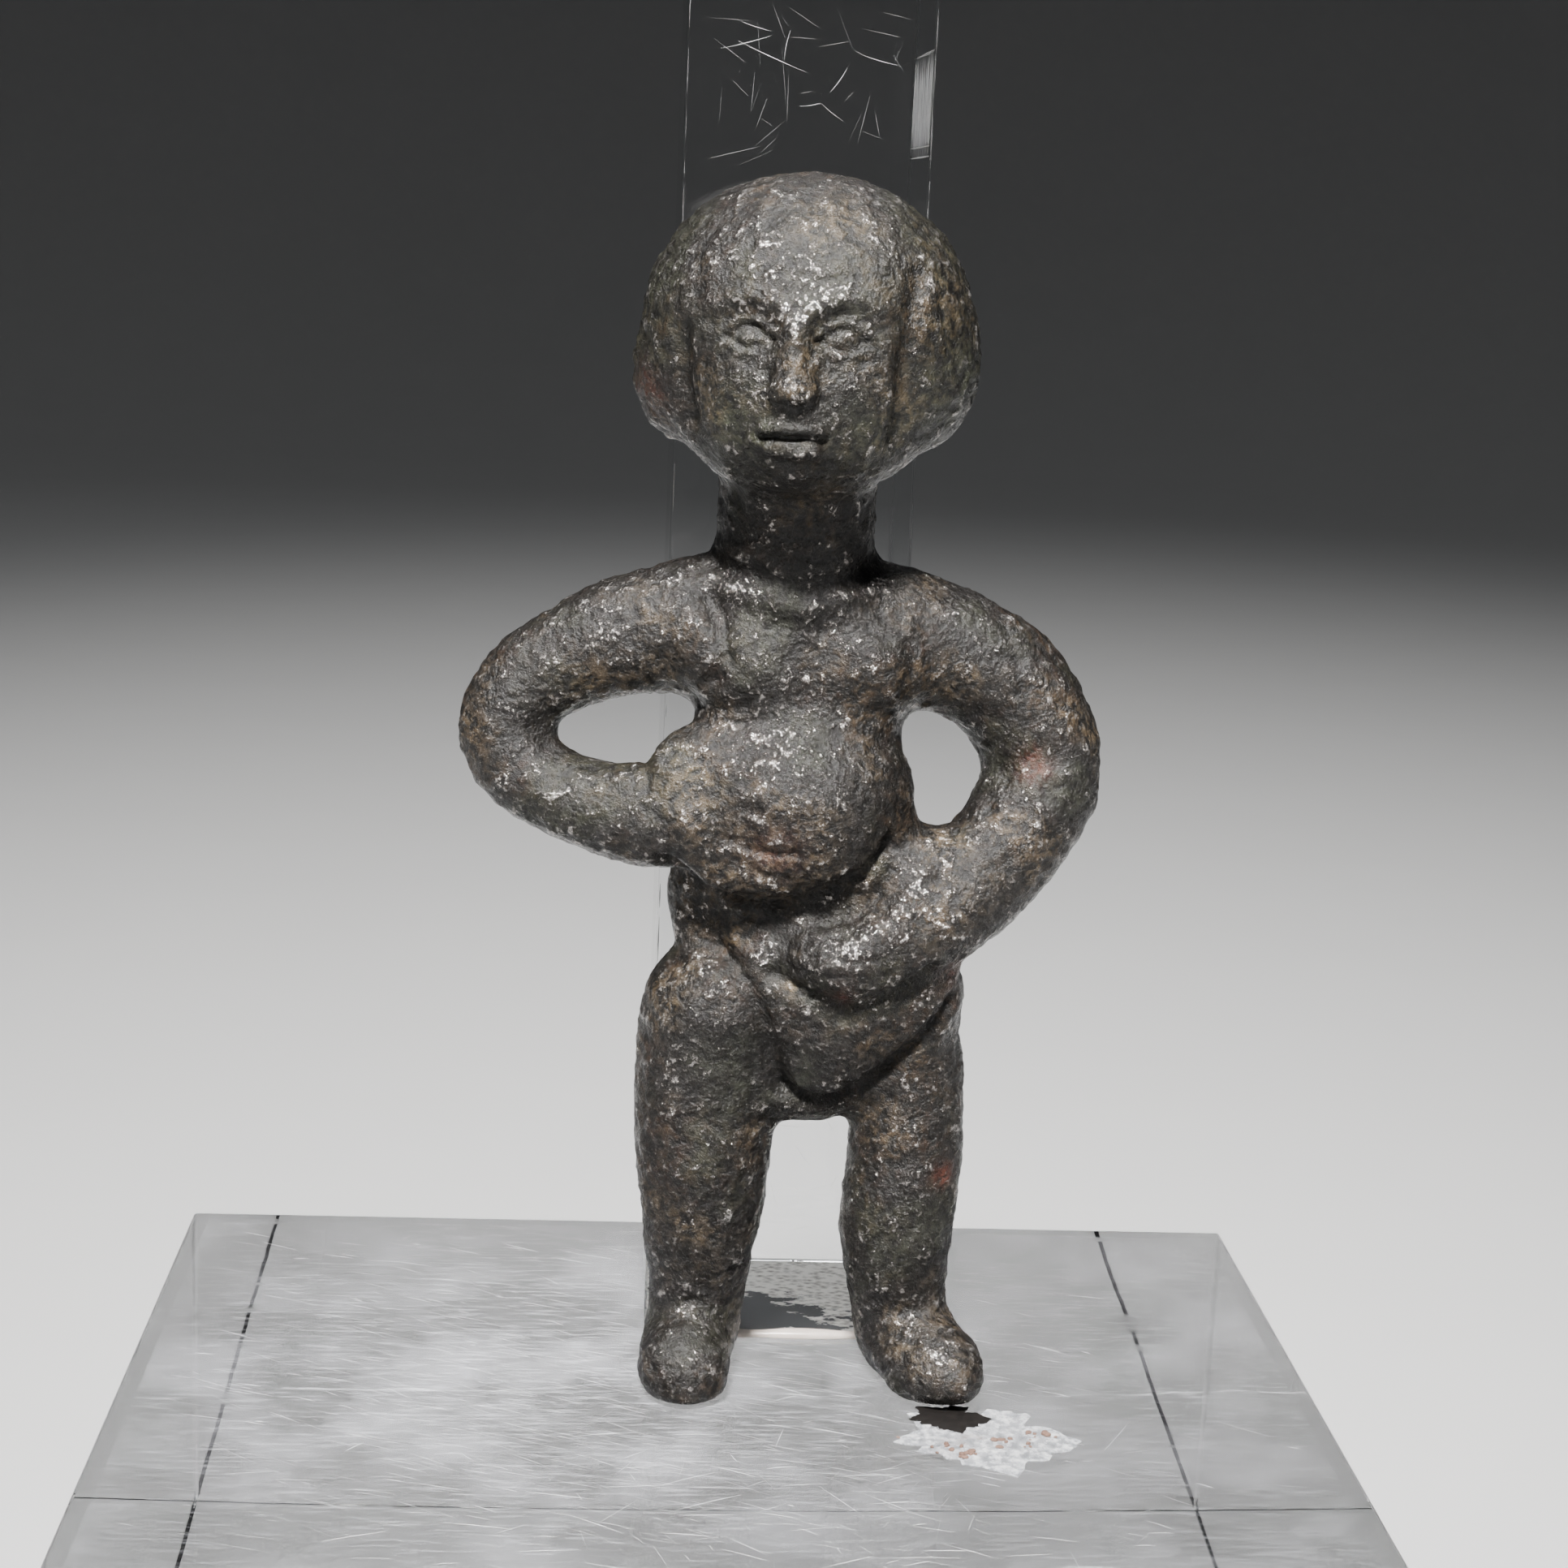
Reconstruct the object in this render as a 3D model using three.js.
// A small cast bronze figurine, standing against the clear acrylic upright of its display stand.
// Millimetres, +Z up, the viewer looks along +Y. The origin is the middle of the base block's underside.
import * as THREE from "three";

// Driving dimensions of the stand.
const BLOCK_WIDTH = 60;
const BLOCK_DEPTH = 50;
const BLOCK_HEIGHT = 48;
const UPRIGHT_WIDTH = 12;
const UPRIGHT_DEPTH = 16;
const UPRIGHT_HEIGHT = 74;
const UPRIGHT_SIDESTEP = 1.9; // the upright stands a little right of the block's middle
const POLISHED_EDGE = 0.4; // width of the broken edges of both acrylic pieces

// Driving dimensions of the figurine. Its free form below is written in sixtieths of its height.
const FIGURE_HEIGHT = 60;
const FIGURE_SIDESTEP = 1.9; // from the middle of the upright to the middle between the feet
const FIGURE_CLEARANCE = 0.3; // between the figurine's back and the upright
const UNIT = FIGURE_HEIGHT / 60;
const SURFACE_STEP = 0.96; // size of the figurine's facets, in its own units
const BACK_PLANE = 4.4; // the back is worn flat here, behind the body's middle
const SOLE_ROUNDING = 0.35;

// Distances blended so that neighbouring masses of wax run into each other.
const clamp01 = (t) => Math.min(1, Math.max(0, t));

function blend(a, b, reach) {
  const h = Math.max(reach - Math.abs(a - b), 0) / reach;
  return Math.min(a, b) - (h * h * reach) / 4;
}

const blendAll = (distances, reach) => distances.reduce((a, b) => blend(a, b, reach));
const carve = (body, tool, reach) => -blend(-body, tool, reach);
const limitTo = (body, side, reach) => -blend(-body, -side, reach);

// An egg-shaped mass with its half sizes along x, y and z.
function mass([x, y, z], [cx, cy, cz], [rx, ry, rz]) {
  const [u, v, w] = [(x - cx) / rx, (y - cy) / ry, (z - cz) / rz];
  const near = Math.hypot(u, v, w);
  const slope = Math.hypot(u / rx, v / ry, w / rz);
  return slope > 1e-6 ? (near * (near - 1)) / slope : -Math.min(rx, ry, rz);
}

// A tapering roll from one station to the next. A station is [x, y, z, radius].
function roll([x, y, z], [ax, ay, az, ar], [bx, by, bz, br]) {
  const [dx, dy, dz] = [bx - ax, by - ay, bz - az];
  const t = clamp01(((x - ax) * dx + (y - ay) * dy + (z - az) * dz) / (dx * dx + dy * dy + dz * dz));
  return Math.hypot(x - ax - t * dx, y - ay - t * dy, z - az - t * dz) - ar - t * (br - ar);
}

// Stations strung closer together along a smooth curve through the given ones.
function strung(stations, perSpan = 4) {
  const at = (i) => stations[Math.min(stations.length - 1, Math.max(0, i))];
  const between = (a, b, c, d, t) =>
    b + 0.5 * t * (c - a + t * (2 * a - 5 * b + 4 * c - d + t * (3 * (b - c) + d - a)));
  const fine = [];
  for (let i = 0; i < stations.length - 1; i++)
    for (let k = 0; k < perSpan; k++)
      fine.push(at(i).map((b, n) => between(at(i - 1)[n], b, at(i + 1)[n], at(i + 2)[n], k / perSpan)));
  return [...fine, at(stations.length)];
}

function limb(p, stations) {
  let d = Infinity;
  for (let i = 1; i < stations.length; i++) d = Math.min(d, roll(p, stations[i - 1], stations[i]));
  return d;
}

// The head turns a little to the viewer's left. The face's axes are: right, forward and up.
const HEAD = [-2.05, -2.7, 52.1];
const HEAD_TURN = THREE.MathUtils.degToRad(-8);
const FACE = { chin: 45.2, crown: 59.8 };
const faceHeight = (share) => FACE.chin + share * (FACE.crown - FACE.chin) - HEAD[2];
const EYE_LEVEL = faceHeight(0.5);
const NOSE_BASE = faceHeight(0.31);
const MOUTH_LEVEL = faceHeight(0.205);
const EYE_SPACING = 2.1; // from the nose to the middle of each eye
const FACE_FRONT = 6.9;

function toFace([x, y, z]) {
  const [dx, dy] = [x - HEAD[0], HEAD[1] - y];
  const [c, s] = [Math.cos(HEAD_TURN), Math.sin(HEAD_TURN)];
  return [c * dx - s * dy, s * dx + c * dy, z - HEAD[2]];
}

function head(p) {
  const q = toFace(p);
  const mirrored = [Math.abs(q[0]), q[1], q[2]];
  const skull = mass(q, [0, 0, 0.8], [7.6, 6.9, 6.9]);
  const jaw = mass(q, [0, 1.1, -2.7], [5.5, 5.6, 4.4]);
  const nearLocks = mass(p, [-7.75, -2.0, 50.4], [2.25, 3.1, 2.9]);
  const farLocks = mass(p, [3.1, -2.3, 51.2], [2.85, 4.1, 3.9]);
  let d = blend(skull, jaw, 1.6);
  d = blendAll([d, nearLocks, farLocks], 1.1);
  const hairEdge = limb(mirrored, [[4.95, 5.1, 0.2, 0.2], [5.25, 4.7, -1.8, 0.55], [4.9, 4.4, -4.6, 0.6]]);
  d = carve(d, hairEdge, 0.8);
  const socket = mass(mirrored, [EYE_SPACING, FACE_FRONT + 0.25, EYE_LEVEL + 0.1], [1.5, 1.0, 0.9]);
  d = carve(d, socket, 0.7);
  const lid = mass(mirrored, [EYE_SPACING, FACE_FRONT - 0.85, EYE_LEVEL - 0.1], [1.15, 0.7, 0.55]);
  const nose = roll(q, [0, FACE_FRONT - 0.6, EYE_LEVEL + 0.6, 0.6], [0, FACE_FRONT + 0.0, NOSE_BASE + 0.7, 1.0]);
  const lips = mass(q, [0, FACE_FRONT - 1.1, MOUTH_LEVEL], [1.8, 1.2, 1.1]);
  return blend(blend(blend(d, lid, 0.4), nose, 0.8), lips, 0.9);
}

function trunk(p) {
  const neck = roll(p, [-2.1, 0.1, 40, 3.9], [-2.1, -1.4, 46, 3.7]);
  const shoulders = roll(p, [-6.2, 0.4, 38.5, 3.15], [2.6, 0.4, 38.3, 3.15]);
  const chest = mass(p, [-1.4, 0.1, 36], [5.1, 3.9, 6.2]);
  const belly = mass(p, [-1.5, -1.4, 30.3], [5.7, 4.3, 5.2]);
  const waist = mass(p, [-1.3, 0.5, 25.5], [6.3, 3.5, 6.5]);
  const pectorals = mass([Math.abs(p[0] + 1.45), p[1], p[2]], [2.85, -2.2, 37.0], [2.6, 2.0, 2.2]);
  const upper = blend(blend(shoulders, chest, 1.8), neck, 0.9);
  const middle = blend(blend(blend(upper, pectorals, 1.2), belly, 1.3), waist, 0.7);

  const nearHip = roll(p, [-5.1, 0.2, 19.4, 3.4], [-3.2, 0.0, 21.0, 3.2]);
  const abdomen = roll(p, [-3.2, -0.2, 21.0, 3.2], [2.4, -0.6, 23.6, 3.2]);
  const farHip = mass(p, [3.7, 0.3, 20.4], [3.6, 3.8, 3.9]);
  const loins = mass(p, [-0.6, 0.2, 18.4], [5.4, 3.5, 4.6]);
  const seat = mass([Math.abs(p[0] + 0.5), p[1], p[2]], [3.7, 2.0, 18.6], [3.2, 2.8, 3.3]);
  const apron = blendAll(
    [
      roll(p, [-0.7, -1.9, 20.6, 2.2], [0.0, -1.4, 17.2, 1.6]),
      roll(p, [2.2, -1.9, 20.6, 2.4], [0.5, -1.4, 17.2, 1.6]),
      roll(p, [5.0, -1.5, 20.9, 2.2], [1.1, -1.4, 17.3, 1.6]),
    ],
    0.9,
  );
  const hips = blend(blendAll([loins, nearHip, abdomen, farHip, seat], 1.2), apron, 0.25);
  const spine = roll(p, [-2.0, 5.1, 37, 0.9], [-0.8, 5.2, 24, 1.0]);
  return carve(blend(middle, hips, 0.7), spine, 1.0);
}

// The viewer's left arm comes back to the side of the belly, the right one down to the groin.
const NEAR_ARM = strung([
  [-6.6, 0.4, 38.4, 3.1],
  [-9.6, 0.4, 37.8, 2.95],
  [-12.6, 0.5, 36.6, 2.55],
  [-15.0, 0.4, 34.8, 2.35],
  [-15.65, 0.1, 32.7, 2.2],
  [-14.3, -0.5, 30.95, 2.15],
  [-11.8, -1.3, 29.9, 2.2],
  [-9.0, -2.2, 29.3, 2.3],
  [-6.6, -3.0, 29.2, 2.0],
]);
const FAR_ARM = strung([
  [2.7, 0.4, 38.2, 3.15],
  [5.9, 0.4, 37.5, 3.1],
  [8.7, 0.5, 35.7, 3.05],
  [10.3, 0.4, 33.2, 3.0],
  [10.3, -0.2, 30.8, 2.9],
  [8.8, -1.0, 28.3, 2.8],
  [6.6, -2.0, 26.1, 2.7],
  [4.3, -2.9, 24.4, 2.45],
  [2.2, -3.6, 23.4, 1.95],
  [0.4, -3.9, 23.0, 1.45],
]);

// Both hands lie flat, as low pads: one across the belly's fold, one above the groin.
function hands(p) {
  const near = mass(p, [-4.0, -3.6, 28.0], [3.5, 1.6, 2.0]);
  const far = mass(p, [0.9, -3.3, 23.0], [2.8, 1.9, 1.7]);
  const web = mass(p, [3.5, -1.5, 26.7], [3.0, 2.6, 2.9]);
  return blend(near, blend(far, web, 1.0), 0.6);
}

// The legs are short stumps with blunt feet, the far one turned out.
const NEAR_LEG = strung([
  [-5.3, 0.4, 19.2, 3.3],
  [-5.35, 0.3, 16.0, 3.55],
  [-5.3, 0.3, 12.4, 3.5],
  [-5.25, 0.4, 8.4, 3.05],
  [-5.3, 0.6, 5.4, 2.6],
  [-5.4, 0.8, 2.8, 2.3],
]);
const FAR_LEG = strung([
  [4.1, 0.8, 19.4, 2.9],
  [4.75, 0.6, 16.2, 2.9],
  [4.85, 0.4, 12.4, 2.9],
  [4.6, 0.4, 8.6, 3.0],
  [4.7, 0.6, 5.8, 2.65],
  [5.0, 0.8, 3.0, 2.3],
]);
const NEAR_FOOT = strung([[-5.5, 1.4, 1.7, 2.1], [-5.8, -0.4, 1.6, 2.25], [-5.95, -2.6, 1.4, 2.4]]);
const FAR_FOOT = strung([[5.2, 1.4, 1.7, 2.2], [5.8, -0.2, 1.6, 2.35], [6.5, -2.0, 1.4, 2.5]]);

// The figurine's signed distance, in its own units: negative inside the metal.
function figure(p) {
  const crotch = mass(p, [-0.1, 0.6, 16.8], [3.2, 2.9, 3.1]);
  const nearLeg = blend(limb(p, NEAR_LEG), limb(p, NEAR_FOOT), 1.0);
  const farLeg = blend(limb(p, FAR_LEG), limb(p, FAR_FOOT), 1.0);
  let d = blend(trunk(p), head(p), 0.5);
  d = blendAll([d, limb(p, NEAR_ARM), limb(p, FAR_ARM)], 1.0);
  d = blend(d, hands(p), 0.8);
  d = blendAll([d, crotch, nearLeg, farLeg], 0.6);
  d = limitTo(d, p[1] - BACK_PLANE, 0.8);
  return limitTo(d, -p[2], SOLE_ROUNDING);
}

const FIGURE_REACH = { low: [-19.5, -11.5, -1.1], high: [15, 5.6, 61.2] };

// Wraps a closed skin of facets round a signed distance: one vertex in each cell of a grid that the
// surface crosses, drawn onto the surface, and one quad round each grid edge that changes sign.
function skin(distance, { low, high }, step) {
  const count = low.map((v, i) => Math.ceil((high[i] - v) / step) + 1);
  const at = (i, j, k) => (i * count[1] + j) * count[2] + k;
  const point = (i, j, k) => [low[0] + i * step, low[1] + j * step, low[2] + k * step];
  const value = new Float64Array(count[0] * count[1] * count[2]);
  const eachCell = (visit, short) => {
    for (let i = 0; i < count[0] - short; i++)
      for (let j = 0; j < count[1] - short; j++)
        for (let k = 0; k < count[2] - short; k++) visit(i, j, k);
  };
  eachCell((i, j, k) => {
    value[at(i, j, k)] = distance(point(i, j, k)) || 1e-9;
  }, 0);

  const corners = Array.from({ length: 8 }, (_, c) => [c & 1, (c >> 1) & 1, (c >> 2) & 1]);
  const vertexOf = new Int32Array(value.length).fill(-1);
  const vertices = [];
  eachCell((i, j, k) => {
    const crossings = [];
    corners.forEach((a) =>
      corners.forEach((b) => {
        const moved = b[0] - a[0] + b[1] - a[1] + b[2] - a[2];
        const far = Math.abs(b[0] - a[0]) + Math.abs(b[1] - a[1]) + Math.abs(b[2] - a[2]);
        if (moved !== 1 || far !== 1) return;
        const va = value[at(i + a[0], j + a[1], k + a[2])];
        const vb = value[at(i + b[0], j + b[1], k + b[2])];
        if (va < 0 === vb < 0) return;
        const t = va / (va - vb);
        crossings.push(a.map((v, axis) => v + t * (b[axis] - v)));
      }),
    );
    if (!crossings.length) return;
    const mean = [0, 1, 2].map((axis) => crossings.reduce((s, q) => s + q[axis], 0) / crossings.length);
    vertexOf[at(i, j, k)] = vertices.length;
    vertices.push(point(i, j, k).map((v, axis) => v + step * mean[axis]));
  }, 1);

  const h = step * 0.02;
  vertices.forEach((p) => {
    const cell = p.map((v, axis) => low[axis] + step * Math.floor((v - low[axis]) / step));
    for (let pass = 0; pass < 4; pass++) {
      const d = distance(p);
      const slope = [0, 1, 2].map((axis) => {
        const q = [...p];
        q[axis] += h;
        return (distance(q) - d) / h;
      });
      const size = Math.max(slope.reduce((s, v) => s + v * v, 0), 0.2);
      slope.forEach((v, axis) => {
        p[axis] = Math.min(cell[axis] + step, Math.max(cell[axis], p[axis] - (d * v) / size));
      });
    }
    p[2] = Math.max(p[2], 0);
  });

  const gap = (a, b) => Math.hypot(a[0] - b[0], a[1] - b[1], a[2] - b[2]);
  const triangles = [];
  const axes = [[1, 0, 0], [0, 1, 0], [0, 0, 1]];
  eachCell((i, j, k) => {
    axes.forEach((axis, a) => {
      if (!i && a !== 0 || !j && a !== 1 || !k && a !== 2) return;
      const here = value[at(i, j, k)];
      const next = value[at(i + axis[0], j + axis[1], k + axis[2])];
      if (here < 0 === next < 0) return;
      const [u, v] = [axes[(a + 1) % 3], axes[(a + 2) % 3]];
      const ring = [[0, 0], [1, 0], [1, 1], [0, 1]].map(
        ([s, t]) => vertexOf[at(i - s * u[0] - t * v[0], j - s * u[1] - t * v[1], k - s * u[2] - t * v[2])],
      );
      if (here > 0) ring.reverse();
      const [a0, a1, a2, a3] = ring.map((n) => vertices[n]);
      if (gap(a0, a2) > gap(a1, a3)) ring.push(ring.shift());
      triangles.push(ring[0], ring[1], ring[2], ring[0], ring[2], ring[3]);
    });
  }, 1);
  return { vertices, triangles };
}

function figurineGeometry() {
  const { vertices, triangles } = skin(figure, FIGURE_REACH, SURFACE_STEP);
  const places = new Float32Array(vertices.flat().map((v) => v * UNIT));
  const geometry = new THREE.BufferGeometry();
  geometry.setAttribute("position", new THREE.BufferAttribute(places, 3));
  geometry.setIndex(triangles);
  geometry.computeVertexNormals();
  return geometry;
}

// A polished acrylic bar on z = 0: an extruded rectangle with its edges broken all round.
function barGeometry(width, depth, height) {
  const [x, y] = [width / 2 - POLISHED_EDGE, depth / 2 - POLISHED_EDGE];
  const outline = new THREE.Shape([[-x, -y], [x, -y], [x, y], [-x, y]].map(([a, b]) => new THREE.Vector2(a, b)));
  const geometry = new THREE.ExtrudeGeometry(outline, {
    depth: height - 2 * POLISHED_EDGE,
    bevelSize: POLISHED_EDGE,
    bevelThickness: POLISHED_EDGE,
    bevelSegments: 1,
  });
  return geometry.translate(0, 0, POLISHED_EDGE);
}

const bronze = new THREE.MeshStandardMaterial({ color: 0x4a433b, roughness: 0.5, metalness: 0.75 });
const clearAcrylic = () =>
  new THREE.MeshStandardMaterial({ color: 0xf1f4f6, roughness: 0.04, metalness: 0, transparent: true, opacity: 0.3 });

function named(name, geometry, material, [x, y, z]) {
  const mesh = new THREE.Mesh(geometry, material);
  mesh.name = name;
  mesh.position.set(x, y, z);
  return mesh;
}

const uprightFront = BLOCK_DEPTH / 2 - UPRIGHT_DEPTH;
const figureY = uprightFront - FIGURE_CLEARANCE - BACK_PLANE * UNIT;

const figurineOnStand = new THREE.Group();
figurineOnStand.add(
  named("base_block", barGeometry(BLOCK_WIDTH, BLOCK_DEPTH, BLOCK_HEIGHT), clearAcrylic(), [0, 0, 0]),
  named("upright", barGeometry(UPRIGHT_WIDTH, UPRIGHT_DEPTH, UPRIGHT_HEIGHT), clearAcrylic(), [
    UPRIGHT_SIDESTEP,
    BLOCK_DEPTH / 2 - UPRIGHT_DEPTH / 2,
    BLOCK_HEIGHT,
  ]),
  named("figurine", figurineGeometry(), bronze, [UPRIGHT_SIDESTEP + FIGURE_SIDESTEP, figureY, BLOCK_HEIGHT]),
);

export default figurineOnStand;
